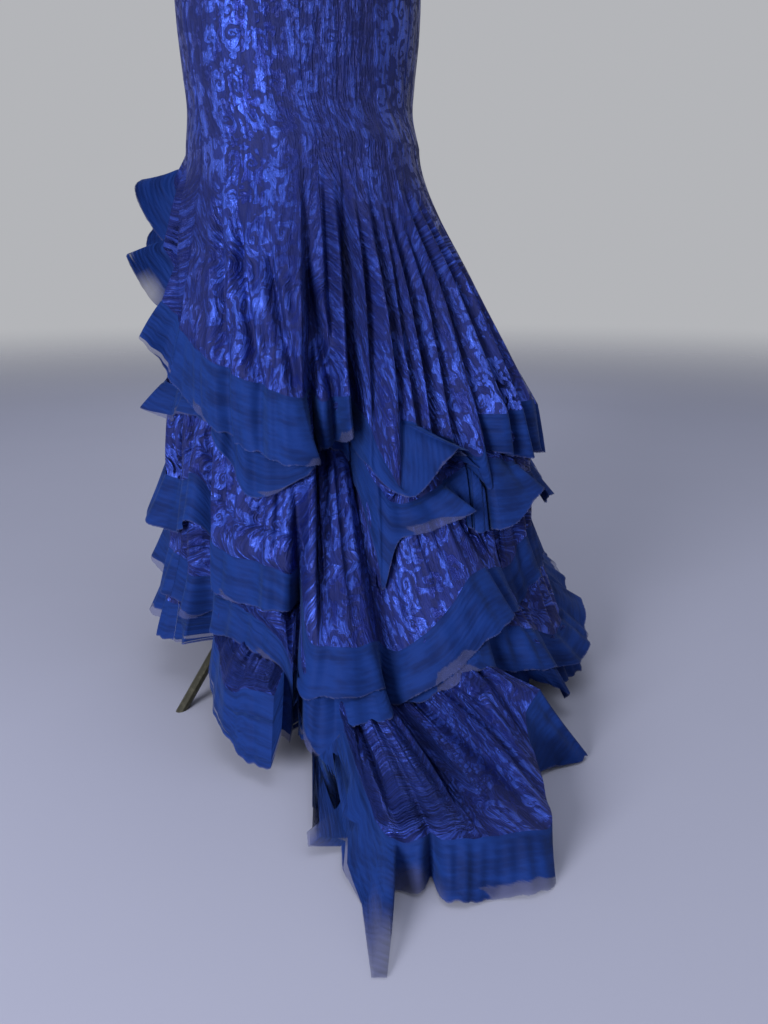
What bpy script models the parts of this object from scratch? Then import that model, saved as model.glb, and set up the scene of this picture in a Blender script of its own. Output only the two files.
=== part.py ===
# A floor-length mermaid gown with a small train, on a dress form with a tripod stand.
# Metres, +Z up. Angles run round the form: 0 is the wearer's front (-Y), 90 the wearer's
# left (+X), 180 the back (+Y). The train lies on the floor at the back left.

import math
from collections import namedtuple

import bmesh
import bpy
import numpy as np
from mathutils import Matrix, Vector

# Cloth
LACE = 0.0016
BAND = 0.0018
SEAM_GAP = 0.0003
HEM_SEAM_GAP = 0.0010
EASE = 0.0008
LAYER_GAP = 0.0014
BAND_WIDTH = 0.072
GATHER = 0.0032
INSIDE = 0.0098
UNDER_HEM = 0.0085
STEEPEST = 2.0

# Heights of the figure
WAIST = 1.06
FORM_BASE = 0.725
FLARE_START = 0.68

# Stand
POLE_RADIUS = 0.0125
HUB_HEIGHT = 0.237
HUB_RADIUS = 0.023
FOOT_REACH = 0.272
FOOT_ANGLE = 105.0
LEG_RADIUS = 0.0062

# Columns of the cloth. The folds of the side that the train lies on are set one by one,
# from LEFT_EDGE to RIGHT_EDGE; the far side has plainer folds, made by a loop. Columns
# stand closer together from DEEP_FROM to DEEP_TO, where the folds are deep.
LEFT_EDGE = 46.0
DEEP_FROM = 130.0
DEEP_TO = 192.0
RIGHT_EDGE = 228.0
LEFT_COLUMNS = 16
DEEP_COLUMNS = 26
RIGHT_COLUMNS = 6
FAR_COLUMNS = 24
COLUMNS = LEFT_COLUMNS + DEEP_COLUMNS + RIGHT_COLUMNS + FAR_COLUMNS
FAR_FOLDS = 8
SAMPLES = 3

# The columns that the panels' seams follow
LEFT_SEAM = 8
BACK_LEFT_SEAM = 24
BACK_SEAM = 37
BACK_RIGHT_SEAM = 45
RIGHT_SEAM = 54
FAR_DEPTH = 0.011

# One row for each section of the figure, neck to thigh. bust is how far each cup
# stands out of the section.
Section = namedtuple("Section", "height half_width front back bust")
FIGURE = [
    Section(1.475, 0.050, 0.048, 0.056, 0.000),
    Section(1.435, 0.054, 0.052, 0.058, 0.000),
    Section(1.410, 0.074, 0.060, 0.070, 0.000),
    Section(1.390, 0.120, 0.072, 0.084, 0.000),
    Section(1.365, 0.160, 0.080, 0.094, 0.000),
    Section(1.330, 0.177, 0.090, 0.100, 0.003),
    Section(1.290, 0.171, 0.097, 0.103, 0.012),
    Section(1.250, 0.160, 0.101, 0.102, 0.023),
    Section(1.215, 0.150, 0.102, 0.098, 0.029),
    Section(1.170, 0.140, 0.098, 0.092, 0.016),
    Section(1.120, 0.129, 0.092, 0.086, 0.004),
    Section(WAIST, 0.119, 0.086, 0.082, 0.000),
    Section(1.000, 0.135, 0.094, 0.094, 0.000),
    Section(0.940, 0.153, 0.104, 0.110, 0.000),
    Section(0.880, 0.165, 0.110, 0.124, 0.000),
    Section(0.820, 0.164, 0.112, 0.124, 0.000),
    Section(0.760, 0.157, 0.116, 0.120, 0.000),
    Section(FORM_BASE, 0.152, 0.120, 0.122, 0.000),
    Section(FLARE_START, 0.1490, 0.1440, 0.1455, 0.000),
]
BUST_ANGLE = 30.0
BUST_SPREAD = 34.0

# The seam where a tier's lace meets its band: one row for each crest or tuck of the
# folds. The band hangs from there by `drop`, standing out by `flare` degrees from the
# vertical and turned sideways by `lean` degrees round the form.
Fold = namedtuple("Fold", "angle reach height flare lean drop")


def fold(angle, reach, height, flare=32.0, lean=0.0, drop=BAND_WIDTH):
    return Fold(angle, reach, height, flare, lean, drop)


# `far` gives the far side: reach and height at the right edge, then at the front.
# `climb` is how late its seam rises to the front height.
Tier = namedtuple("Tier", "name folds far climb drop")
TIERS = [
    Tier("1", [
        fold(46, 0.156, 0.655, flare=55, drop=0.046),
        fold(57, 0.164, 0.575, flare=60, drop=0.050),
        fold(76, 0.184, 0.480, flare=40, drop=0.056),
        fold(100, 0.204, 0.438, flare=12, drop=0.078),
        fold(124, 0.238, 0.417, flare=24, drop=0.080),
        fold(142, 0.266, 0.397, flare=24, lean=3),
        fold(146, 0.206, 0.400, flare=8, drop=0.055),
        fold(149, 0.244, 0.378, flare=6, drop=0.050),
        fold(156.5, 0.216, 0.390, flare=8, drop=0.055),
        fold(160.8, 0.274, 0.325, flare=24, lean=-3, drop=0.050),
        fold(164, 0.286, 0.304, flare=30, lean=-5, drop=0.052),
        fold(168, 0.270, 0.358, flare=28, lean=-1, drop=0.066),
        fold(175, 0.292, 0.346, flare=34, lean=-1, drop=0.056),
        fold(181, 0.306, 0.328, flare=60, lean=-3, drop=0.034),
        fold(187.5, 0.282, 0.376, flare=20, drop=0.056),
        fold(208, 0.312, 0.362, flare=14, drop=0.066),
    ], far=(0.305, 0.352, 0.185, 0.560), climb=3, drop=0.066),
    Tier("2", [
        fold(46, 0.160, 0.425, flare=36, drop=0.058),
        fold(58, 0.172, 0.405, flare=36, drop=0.058),
        fold(76, 0.196, 0.375, flare=26, drop=0.058),
        fold(100, 0.210, 0.345, flare=20, drop=0.060),
        fold(123, 0.240, 0.328, flare=22, drop=0.056),
        fold(138.5, 0.254, 0.316, flare=24, drop=0.048),
        fold(146, 0.208, 0.358, flare=8, drop=0.034),
        fold(150, 0.212, 0.358, flare=8, drop=0.034),
        fold(156, 0.204, 0.345, flare=10, drop=0.040),
        fold(161, 0.254, 0.300, flare=26, lean=-1, drop=0.105),
        fold(165, 0.276, 0.280, flare=42, lean=-4, drop=0.062),
        fold(171, 0.290, 0.296, flare=34, lean=-1, drop=0.056),
        fold(180.5, 0.302, 0.264, flare=50, lean=-2, drop=0.034),
        fold(186.5, 0.285, 0.306, flare=34, lean=-4, drop=0.080),
        fold(194.5, 0.308, 0.304, flare=34, lean=-1, drop=0.074),
        fold(207, 0.312, 0.278, flare=36, drop=0.048),
    ], far=(0.308, 0.280, 0.176, 0.405), climb=1, drop=0.058),
    Tier("3", [
        fold(46, 0.176, 0.305, flare=24, drop=0.060),
        fold(60, 0.188, 0.290, flare=22, drop=0.060),
        fold(78, 0.204, 0.262, flare=20, drop=0.058),
        fold(97, 0.216, 0.238, flare=18, drop=0.056),
        fold(111, 0.230, 0.223, flare=18, drop=0.054),
        fold(122, 0.252, 0.211, flare=18, drop=0.048),
        fold(133, 0.282, 0.203, flare=20, drop=0.046),
        fold(139.5, 0.256, 0.190, flare=14, drop=0.046),
        fold(142.5, 0.350, 0.137, flare=30, lean=-1, drop=0.055),
        fold(147.5, 0.376, 0.138, flare=34, drop=0.056),
        fold(152.5, 0.370, 0.142, flare=34, drop=0.062),
        fold(157, 0.320, 0.146, flare=30, lean=-1, drop=0.062),
        fold(160.5, 0.350, 0.134, flare=36, lean=-5, drop=0.078),
        fold(170, 0.362, 0.183, flare=34, lean=-2, drop=0.070),
        fold(179, 0.356, 0.204, flare=34, drop=0.062),
        fold(199, 0.320, 0.212, flare=20, drop=0.058),
    ], far=(0.312, 0.205, 0.190, 0.295), climb=1, drop=0.060),
    Tier("4", [
        fold(46, 0.188, 0.200, flare=20, drop=0.060),
        fold(62, 0.198, 0.190, flare=18, drop=0.060),
        fold(80, 0.208, 0.178, flare=16, drop=0.058),
        fold(98, 0.219, 0.162, flare=16, drop=0.054),
        fold(112, 0.236, 0.150, flare=18, drop=0.050),
        fold(123, 0.264, 0.140, flare=24, drop=0.048),
        fold(131, 0.300, 0.128, flare=24, drop=0.046),
        fold(138, 0.290, 0.122, flare=20, drop=0.046),
        fold(143, 0.330, 0.112, flare=28, drop=0.050),
        fold(147.5, 0.362, 0.106, flare=36, drop=0.052),
        fold(153, 0.358, 0.108, flare=36, drop=0.054),
        fold(157.5, 0.318, 0.116, flare=34, drop=0.056),
        fold(162, 0.342, 0.108, flare=38, drop=0.056),
        fold(171, 0.362, 0.150, flare=34, drop=0.056),
        fold(188, 0.366, 0.112, flare=42, drop=0.056),
        fold(201, 0.366, 0.078, flare=52, drop=0.050),
    ], far=(0.335, 0.120, 0.204, 0.196), climb=1, drop=0.060),
    Tier("5", [
        fold(46, 0.198, 0.122, flare=18, drop=0.056),
        fold(62, 0.208, 0.114, flare=16, drop=0.056),
        fold(80, 0.216, 0.108, flare=12, drop=0.052),
        fold(98, 0.228, 0.104, flare=12, drop=0.046),
        fold(110, 0.240, 0.100, flare=14, drop=0.048),
        fold(120, 0.290, 0.090, flare=22, drop=0.062),
        fold(130, 0.352, 0.084, flare=14, drop=0.080),
        fold(139, 0.366, 0.078, flare=12, drop=0.074),
        fold(144, 0.412, 0.022, flare=78, lean=-4, drop=0.094),
        fold(147.7, 0.505, 0.010, flare=82, lean=-1.5, drop=0.205),
        fold(151, 0.522, 0.010, flare=82, lean=-2, drop=0.105),
        fold(156.5, 0.538, 0.010, flare=82, lean=-1.5, drop=0.100),
        fold(162, 0.555, 0.011, flare=82, lean=-2.5, drop=0.092),
        fold(166.5, 0.566, 0.014, flare=82, lean=-4, drop=0.092),
        fold(177, 0.454, 0.048, flare=56, lean=1, drop=0.076),
        fold(191, 0.404, 0.070, flare=38, drop=0.060),
    ], far=(0.352, 0.064, 0.216, 0.118), climb=1, drop=0.058),
]

BLUE_LACE = (0.045, 0.055, 0.300)
BLUE_BAND = (0.020, 0.060, 0.260)


# Small helpers

def clear_scene():
    for old in list(bpy.data.objects):
        bpy.data.objects.remove(old)


def material(name, colour, roughness, metallic=0.0):
    made = bpy.data.materials.get(name) or bpy.data.materials.new(name)
    made.use_nodes = True
    shader = made.node_tree.nodes["Principled BSDF"]
    shader.inputs["Base Color"].default_value = (*colour, 1.0)
    shader.inputs["Roughness"].default_value = roughness
    shader.inputs["Metallic"].default_value = metallic
    return made


def lace():
    return material("blue_lace", BLUE_LACE, 0.45, 0.3)


def chiffon():
    return material("blue_chiffon", BLUE_BAND, 0.7)


def jersey():
    return material("form_jersey", (0.62, 0.56, 0.48), 0.85)


def black_metal():
    return material("stand_metal", (0.03, 0.03, 0.022), 0.4, 0.6)


def add_object(name, shape, finish, smooth_angle=50.0):
    """Turns a bmesh into an object whose faces point out."""
    bmesh.ops.recalc_face_normals(shape, faces=shape.faces)
    mesh = bpy.data.meshes.new(name)
    shape.to_mesh(mesh)
    shape.free()
    mesh.materials.append(finish)
    mesh.shade_smooth()
    mesh.set_sharp_from_angle(angle=math.radians(smooth_angle))
    made = bpy.data.objects.new(name, mesh)
    bpy.context.scene.collection.objects.link(made)
    return made


def unit(vectors):
    return vectors / np.linalg.norm(vectors, axis=-1, keepdims=True)


def polar(angle, reach, height):
    """Points from angles round the form in degrees, distances from its axis and heights."""
    turn = np.radians(angle)
    return np.stack([reach * np.sin(turn), -reach * np.cos(turn), height + 0 * turn], axis=-1)


def smooth_round(values, samples, full_turn=0.0):
    """A closed smooth curve through the values, with samples points for each of them."""
    count = len(values)
    made = []
    for i in range(count):
        before = values[i - 1] - (full_turn if i == 0 else 0.0)
        here = values[i]
        after = values[(i + 1) % count] + (full_turn if i + 1 >= count else 0.0)
        beyond = values[(i + 2) % count] + (full_turn if i + 2 >= count else 0.0)
        for k in range(samples):
            s = k / samples
            made.append(0.5 * (
                2 * here + (after - before) * s
                + (2 * before - 5 * here + 4 * after - beyond) * s ** 2
                + (3 * here - before - 3 * after + beyond) * s ** 3
            ))
    return np.array(made)


# The figure

def column_angles():
    """The angle of each column of the cloth."""
    parts = (
        (LEFT_EDGE, DEEP_FROM, LEFT_COLUMNS),
        (DEEP_FROM, DEEP_TO, DEEP_COLUMNS),
        (DEEP_TO, RIGHT_EDGE, RIGHT_COLUMNS),
        (RIGHT_EDGE, LEFT_EDGE + 360, FAR_COLUMNS),
    )
    return np.concatenate([np.linspace(*part, endpoint=False) for part in parts])


def section_at(height):
    """The figure's section at a height, straight between the rows of FIGURE."""
    rows = np.array(FIGURE)[::-1]
    sizes = [np.interp(height, rows[:, 0], rows[:, k]) for k in range(1, 5)]
    return Section(height, *sizes)


def figure_points(angles, height, out=0.0):
    """Points round the figure at a height, one for each angle, moved out by `out`."""
    at = section_at(height)
    turn = np.radians(angles)
    depth = np.where(np.cos(turn) > 0, at.front, at.back) + out
    reach_x = (at.half_width + out) * np.sin(turn)
    reach_y = -depth * np.cos(turn)
    off_front = (angles + 180) % 360 - 180
    cups = sum(np.exp(-((off_front - side * BUST_ANGLE) / BUST_SPREAD) ** 2) for side in (-1, 1))
    grow = 1 + at.bust * cups / np.hypot(reach_x, reach_y)
    return np.stack([reach_x * grow, reach_y * grow, height + 0 * turn], axis=-1)


# Cloth walls

def ring_normals(rows):
    """Outward normals of a closed ring of cloth: rows run down it, columns round it."""
    across = np.roll(rows, -1, axis=1) - np.roll(rows, 1, axis=1)
    down = np.gradient(rows, axis=0)
    return unit(np.cross(down, across))


def panel_columns(rows, first, last):
    """The columns first to last of a ring, with half a seam gap left at both ends."""
    picked = np.take(rows, np.arange(first, last + 1) % COLUMNS, axis=1).copy()
    for end, inner in ((0, 1), (-1, -2)):
        edge = picked[:, inner] - picked[:, end]
        picked[:, end] += edge * (SEAM_GAP / 2 / np.linalg.norm(edge, axis=-1, keepdims=True))
    return picked


def wall(name, middle, normals, thickness, finish, first, last):
    """A closed solid of even thickness round the middle surface of one panel."""
    half = thickness / 2
    outer = panel_columns(middle + normals * half, first, last)
    inner = panel_columns(middle - normals * half, first, last)
    for side in (outer, inner):
        side[..., 2] = np.maximum(side[..., 2], 0.0)
    shape = bmesh.new()
    grids = [[[shape.verts.new(p) for p in row] for row in side] for side in (outer, inner)]
    rows, columns = len(grids[0]), len(grids[0][0])
    for i in range(rows - 1):
        for j in range(columns - 1):
            for grid in grids:
                corners = (grid[i][j], grid[i + 1][j], grid[i + 1][j + 1], grid[i][j + 1])
                shape.faces.new(corners)
    out, back = grids
    for i in (0, rows - 1):
        for j in range(columns - 1):
            shape.faces.new((out[i][j], out[i][j + 1], back[i][j + 1], back[i][j]))
    for j in (0, columns - 1):
        for i in range(rows - 1):
            shape.faces.new((out[i][j], out[i + 1][j], back[i + 1][j], back[i][j]))
    bmesh.ops.triangulate(shape, faces=shape.faces)
    return add_object(name, shape, finish)


# Seam curves

def far_folds(tier):
    """The plainer folds of the side away from the train, crests and tucks in turn."""
    side_reach, side_height, front_reach, front_height = tier.far
    step = (LEFT_EDGE + 360 - RIGHT_EDGE) / FAR_FOLDS
    made = []
    for k in range(FAR_FOLDS):
        share = k / (FAR_FOLDS - 1)
        depth = FAR_DEPTH if k % 2 else -FAR_DEPTH
        reach = side_reach + (front_reach - side_reach) * share + depth
        height = side_height + (front_height - side_height) * share ** tier.climb
        flare = tier.folds[-1].flare * (1 - share) + tier.folds[0].flare * share
        made.append(fold(RIGHT_EDGE + step * k, reach, height, flare, drop=tier.drop))
    return made


def at_columns(angle, values):
    """A closed curve's values at the angle of each column."""
    return np.interp(column_angles(), angle, values, period=360)


def seam_curve(tier):
    """Reach, height, flare, lean and drop of a tier's seam, for each column."""
    rows = np.array(tier.folds + far_folds(tier))
    angle = smooth_round(rows[:, 0], SAMPLES, full_turn=360.0)
    smoothed = [smooth_round(rows[:, k], SAMPLES) for k in range(1, 6)]
    return Fold(column_angles(), *[at_columns(angle, values) for values in smoothed])


def polar_of(points):
    angle = np.degrees(np.arctan2(points[..., 0], -points[..., 1]))
    return angle, np.hypot(points[..., 0], points[..., 1]), points[..., 2]


def steepness(reach):
    """How much longer a step out is than the cloth's own distance, where folds are steep."""
    turn = np.radians(column_angles())
    turns = np.roll(turn, -1) - np.roll(turn, 1)
    turns = np.where(turns < 0, turns + 2 * math.pi, turns)
    slope = (np.roll(reach, -1) - np.roll(reach, 1)) / turns / reach
    return np.minimum(np.hypot(1, slope), 5.0)


# The tiers' surfaces. Every row of theirs has its points at the same column angles, so
# that a layer stays inside the one above it where it does so column by column.

def gathers(share):
    """Small gathers, one for every two columns, that fade at both ends of a tier."""
    size = GATHER * np.sin(np.pi * np.clip(share, 0.0, 1.0)).clip(0) ** 0.7
    return size * np.where(np.arange(COLUMNS) % 2, 1.0, -1.0)


def flare_share(share):
    """How far the skirt has flared: slow just below the thigh, then straight."""
    bend = 0.15
    return (math.hypot(share, bend) - bend) / (math.hypot(1, bend) - bend)


def skirt_rows(seam):
    """Middle surface of the skirt's lace, from the waist to the first seam."""
    angles = column_angles()
    out = EASE + LACE / 2
    heights = [row.height for row in FIGURE if row.height <= WAIST]
    rows = [figure_points(angles, height, out) for height in heights]
    top_angle, top_reach, _ = polar_of(rows[-1])
    top_angle = top_angle + 360 * np.round((angles - top_angle) / 360)
    for share in (0.2, 0.42, 0.62, 0.81, 1.0):
        reach = top_reach + (seam.reach - top_reach) * flare_share(share)
        turned = top_angle + (angles - top_angle) * min(1.0, share * 2)
        height = FLARE_START + (seam.height - FLARE_START) * share
        fold_size = gathers(share) * np.clip((FLARE_START - height) / 0.15, 0, 1)
        rows.append(polar(turned, reach + fold_size, height))
    rows[0] = rows[0] - np.array((0, 0, SEAM_GAP / 2))
    return np.array(rows)


def held_in(reach, height, last, bands):
    """Draws a row in where it, or the cloth down to it from the row `last`, would stand
    through one of the bands above."""
    for band in bands:
        _, out, level = polar_of(band)
        spare = INSIDE * np.minimum(steepness(out[-1]), STEEPEST)
        for k in range(len(band)):
            if last is not None:
                last_reach, last_height = last
                drop = np.maximum(last_height - height, 1e-6)
                share = (last_height - level[k]) / drop
                most = last_reach + (out[k] - spare - last_reach) / np.maximum(share, 0.05)
                reach = np.where((share > 0.05) & (share <= 1), np.minimum(reach, most), reach)
            if k:
                share = (level[k - 1] - height) / np.maximum(level[k - 1] - level[k], 1e-6)
                most = out[k - 1] + (out[k] - out[k - 1]) * share - spare
                reach = np.where((share >= 0) & (share <= 1), np.minimum(reach, most), reach)
        most = out[0] - spare
        reach = np.where(height > level[0], np.minimum(reach, most), reach)
    return reach


def tier_rows(seam, below, bands):
    """Middle surface of a lower tier's lace, hung inside the seam above it. Its second
    row lies just under the hem of the band above."""
    _, seam_reach, start = polar_of(seam)
    apart = (LACE / 2 + BAND / 2 + LAYER_GAP) * steepness(seam_reach)
    start = start - LAYER_GAP
    reach = top_reach = seam_reach - apart
    rows = [polar(column_angles(), top_reach, start)]
    hem = bands[-1][-1][:, 2] - UNDER_HEM
    at_hem = np.clip((start - hem) / np.maximum(start - below.height, 0.001), 0.15, 0.8)
    height = start
    for share in (at_hem, (1 + at_hem) / 2, np.ones(COLUMNS)):
        last = reach, height
        height = start + (below.height - start) * share
        reach = top_reach + (below.reach - top_reach) * share ** 1.5 + gathers(share)
        reach = held_in(reach, height, last, bands)
        rows.append(polar(column_angles(), reach, height))
    return np.array(rows)


def band_rows(seam, curve, bands):
    """Middle surface of a tier's band, from its seam to its hem."""
    _, seam_reach, seam_height = polar_of(seam)
    rows = [seam.copy()]
    last = seam_reach, seam_height
    for share in (0.5, 1.0):
        flare = np.radians(curve.flare)
        angle = curve.angle + curve.lean * share ** 1.5
        reach = at_columns(angle, seam_reach + curve.drop * np.sin(flare) * share)
        height = at_columns(angle, seam_height - curve.drop * np.cos(flare) * share)
        height = np.clip(height, BAND / 2, np.maximum(seam_height - 0.004, BAND / 2))
        reach = held_in(reach, height, last, bands)
        last = reach, height
        rows.append(polar(column_angles(), reach, height))
    return np.array(rows)


def shared_seam(lace_rows, lace_normals, band, band_normals):
    """Gives both sides of a seam the same normals and opens the seam gap between them."""
    both = unit(lace_normals[-1] + band_normals[0])
    lace_normals[-1] = both
    band_normals[0] = both
    lace_rows[-1] += unit(lace_rows[-2] - lace_rows[-1]) * HEM_SEAM_GAP / 2
    band[0] += unit(band[1] - band[0]) * HEM_SEAM_GAP / 2


def make_skirt_and_tiers():
    curves = [seam_curve(tier) for tier in TIERS]
    laces = [skirt_rows(curves[0])]
    bands = [band_rows(laces[0][-1], curves[0], [])]
    for k in range(1, len(TIERS)):
        laces.append(tier_rows(laces[k - 1][-1], curves[k], bands))
        bands.append(band_rows(laces[k][-1], curves[k], bands))
    for k, tier in enumerate(TIERS):
        middle, band = laces[k], bands[k]
        normals, band_normals = ring_normals(middle), ring_normals(band)
        shared_seam(middle, normals, band, band_normals)
        if k == 0:
            panels = [
                ("skirt_left_back", LEFT_SEAM, BACK_LEFT_SEAM),
                ("skirt_back", BACK_LEFT_SEAM, BACK_RIGHT_SEAM),
                ("skirt_right_back", BACK_RIGHT_SEAM, RIGHT_SEAM),
                ("skirt_front", RIGHT_SEAM, LEFT_SEAM + COLUMNS),
            ]
        else:
            panels = [
                (f"tier_{tier.name}_back", LEFT_SEAM, RIGHT_SEAM),
                (f"tier_{tier.name}_front", RIGHT_SEAM, LEFT_SEAM + COLUMNS),
            ]
        for name, first, end in panels:
            wall(name, middle, normals, LACE, lace(), first, end)
        all_round = LEFT_SEAM, LEFT_SEAM + COLUMNS
        wall(f"band_{tier.name}", band, band_normals, BAND, chiffon(), *all_round)


# The bodice

def bodice_top(angles):
    """Height of the strapless top edge: two soft peaks in front, lower at the back."""
    off_front = (angles + 180) % 360 - 180
    back, side, peak, dip = 1.205, 1.250, 1.292, 1.262
    level = np.where(
        np.abs(off_front) > 90,
        back + (side - back) * (1 + np.cos(np.radians(2 * (np.abs(off_front) - 90)))) / 2,
        side,
    )
    cups = sum(np.exp(-((off_front - s * BUST_ANGLE) / 26.0) ** 2) for s in (-1, 1))
    middle = np.exp(-(off_front / 12.0) ** 2)
    return level + (peak - side) * np.minimum(cups, 1.0) - (peak - dip) * middle * 0.6


def bodice_rows():
    angles = column_angles()
    out = EASE + LACE / 2
    top = bodice_top(angles)
    bust = np.minimum(1.215, top - 0.025)
    above_bust = np.minimum(1.250, (top + bust) / 2)
    rows = []
    for level in (top, above_bust, bust, 1.170, 1.120, WAIST):
        heights = level + 0 * angles
        points = [figure_points(angles[j:j + 1], h, out)[0] for j, h in enumerate(heights)]
        rows.append(np.array(points))
    rows[-1] = rows[-1] + np.array((0, 0, SEAM_GAP / 2))
    return np.array(rows)


def make_bodice():
    middle = bodice_rows()
    normals = ring_normals(middle)
    normals[-1] = unit(normals[-1] * (1, 1, 0))
    for name, first, end in (
        ("bodice_left_back", LEFT_SEAM, BACK_SEAM),
        ("bodice_right_back", BACK_SEAM, RIGHT_SEAM),
        ("bodice_front", RIGHT_SEAM, LEFT_SEAM + COLUMNS),
    ):
        wall(name, middle, normals, LACE, lace(), first, end)


# The dress form and its stand

def make_form():
    """The padded torso, closed at the neck and at the thigh."""
    angles = column_angles()[::2]
    heights = [row.height for row in FIGURE if row.height >= FORM_BASE]
    shape = bmesh.new()
    rings = [[shape.verts.new(p) for p in figure_points(angles, h)] for h in heights]
    for upper, lower in zip(rings, rings[1:]):
        for j in range(len(angles)):
            k = (j + 1) % len(angles)
            shape.faces.new((upper[j], lower[j], lower[k], upper[k]))
    for ring in (rings[0], rings[-1]):
        shape.faces.new(ring)
    bmesh.ops.triangulate(shape, faces=shape.faces)
    add_object("form_torso", shape, jersey(), smooth_angle=60)


def cylinder(name, radius, low, high, finish, segments=20, bevel=0.0, at=(0.0, 0.0)):
    shape = bmesh.new()
    bmesh.ops.create_cone(
        shape, cap_ends=True, segments=segments, radius1=radius, radius2=radius,
        depth=high - low, matrix=Matrix.Translation((*at, (low + high) / 2)),
    )
    if bevel:
        rims = [e for e in shape.edges if abs(e.verts[0].co.z - e.verts[1].co.z) < 1e-6]
        bmesh.ops.bevel(shape, geom=rims, offset=bevel, segments=2, affect="EDGES")
    bmesh.ops.triangulate(shape, faces=shape.faces)
    return add_object(name, shape, finish, smooth_angle=40)


def make_leg(number):
    """One leg, from the hub down to its tip on the floor, which is cut flat."""
    angle = FOOT_ANGLE + 120 * number
    inner, outer = HUB_RADIUS + SEAM_GAP, FOOT_REACH
    rise = HUB_HEIGHT / FOOT_REACH
    top = Vector(polar(angle, inner, HUB_HEIGHT - inner * rise))
    foot = Vector(polar(angle, outer, 0.0))
    run = (foot - top).normalized()
    side = run.cross((0, 0, 1)).normalized()
    upward = side.cross(run)
    out = Vector((side.y, -side.x, 0))
    if out.dot(foot) < 0:
        out = -out
    shape = bmesh.new()
    segments = 10
    rings = []
    for centre, cut in ((top, out), (foot, Vector((0, 0, 1)))):
        ring = []
        for k in range(segments):
            turn = 2 * math.pi * k / segments
            point = centre + (side * math.cos(turn) + upward * math.sin(turn)) * LEG_RADIUS
            along = (centre - point).dot(cut) / run.dot(cut)
            ring.append(shape.verts.new(point + run * along))
        rings.append(ring)
    for k in range(segments):
        n = (k + 1) % segments
        shape.faces.new((rings[0][k], rings[0][n], rings[1][n], rings[1][k]))
    for ring in rings:
        shape.faces.new(ring)
    bmesh.ops.triangulate(shape, faces=shape.faces)
    add_object(f"stand_leg_{number + 1}", shape, black_metal(), smooth_angle=40)


def make_stand():
    pole_foot = HUB_HEIGHT - 0.045
    hub_low, hub_high = HUB_HEIGHT - 0.030, HUB_HEIGHT + 0.022
    cylinder("stand_pole", POLE_RADIUS, hub_high + SEAM_GAP, FORM_BASE - SEAM_GAP, black_metal())
    cylinder("stand_hub", HUB_RADIUS, hub_low, hub_high, black_metal(), bevel=0.003)
    cylinder("stand_pole_end", POLE_RADIUS, pole_foot, hub_low - SEAM_GAP, black_metal(), bevel=0.002)
    for number in range(3):
        make_leg(number)
    neck = FIGURE[0]
    cylinder("form_neck_cap", neck.half_width - 0.004, neck.height + SEAM_GAP,
             neck.height + 0.014, black_metal(), segments=28, bevel=0.003)


def centre_over_origin():
    """Moves the whole part so that the middle of its box stands over the origin."""
    bpy.context.view_layer.update()
    parts = list(bpy.context.scene.objects)
    corners = np.array([part.matrix_world @ Vector(c) for part in parts for c in part.bound_box])
    low, high = corners.min(axis=0), corners.max(axis=0)
    shift = Vector((-(low[0] + high[0]) / 2, -(low[1] + high[1]) / 2, 0.0))
    stand = bpy.data.objects.new("gown_and_form", None)
    bpy.context.scene.collection.objects.link(stand)
    for part in parts:
        part.parent = stand
    stand.location = shift
    bpy.context.view_layer.update()


def main():
    clear_scene()
    make_skirt_and_tiers()
    make_bodice()
    make_form()
    make_stand()
    centre_over_origin()


main()
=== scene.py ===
import math
from collections import namedtuple

import bmesh
import bpy
import numpy as np
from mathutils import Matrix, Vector


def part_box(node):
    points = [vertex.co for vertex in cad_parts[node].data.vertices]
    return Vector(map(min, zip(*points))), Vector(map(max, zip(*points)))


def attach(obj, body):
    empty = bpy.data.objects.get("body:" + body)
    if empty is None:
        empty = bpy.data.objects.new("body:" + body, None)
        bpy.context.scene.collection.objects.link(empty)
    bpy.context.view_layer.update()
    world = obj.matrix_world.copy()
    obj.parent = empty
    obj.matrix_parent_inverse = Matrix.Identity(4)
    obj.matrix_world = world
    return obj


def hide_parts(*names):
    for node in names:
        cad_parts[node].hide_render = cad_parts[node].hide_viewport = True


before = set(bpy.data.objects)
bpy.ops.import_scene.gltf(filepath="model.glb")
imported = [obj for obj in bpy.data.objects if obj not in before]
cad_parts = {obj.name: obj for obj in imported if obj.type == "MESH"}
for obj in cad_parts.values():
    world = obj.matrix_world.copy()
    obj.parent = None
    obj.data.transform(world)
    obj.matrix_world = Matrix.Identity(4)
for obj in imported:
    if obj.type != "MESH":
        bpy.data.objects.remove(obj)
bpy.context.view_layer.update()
poleLow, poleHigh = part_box("stand_pole")
axis = (poleLow + poleHigh) / 2
axis.z = 0.0

cloth = {
    "ease": 0.0022,          # the lace lies this far off the form
    "creases": 1.35,         # how deep the skirt's folds are, against their table
    "bandWidth": 0.072,
    "layerGap": 0.0022,      # between a tier's lace and the seam above it
    "inside": 0.0060,        # a layer stays this far inside the band over it
    "steepest": 2.3,
    "seamDip": 0.0009,       # how far a panel's edge turns in at its seam
    "gather": 0.0022,
    "floor": 0.0012,
}

# Columns of points round the gown. They stand closer together where the folds are deep.
columns = {
    "left": (46.0, 130.0, 16 * 9),
    "deep": (130.0, 192.0, 26 * 12),
    "right": (192.0, 228.0, 6 * 14),
    "far": (228.0, 406.0, 24 * 7),
}
columnAngle = np.concatenate([np.linspace(*part, endpoint=False) for part in columns.values()])
columnCount = len(columnAngle)
leftSeam, backLeftSeam, backSeam, backRightSeam, rightSeam = 72, 240, 396, 498, 582

rowCount = {"waistToThigh": 46, "flare": 88, "tier": 46, "band": 22, "bodice": 34}


# Small helpers

def unit(vectors):
    return vectors / np.maximum(np.linalg.norm(vectors, axis=-1, keepdims=True), 1e-9)


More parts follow.
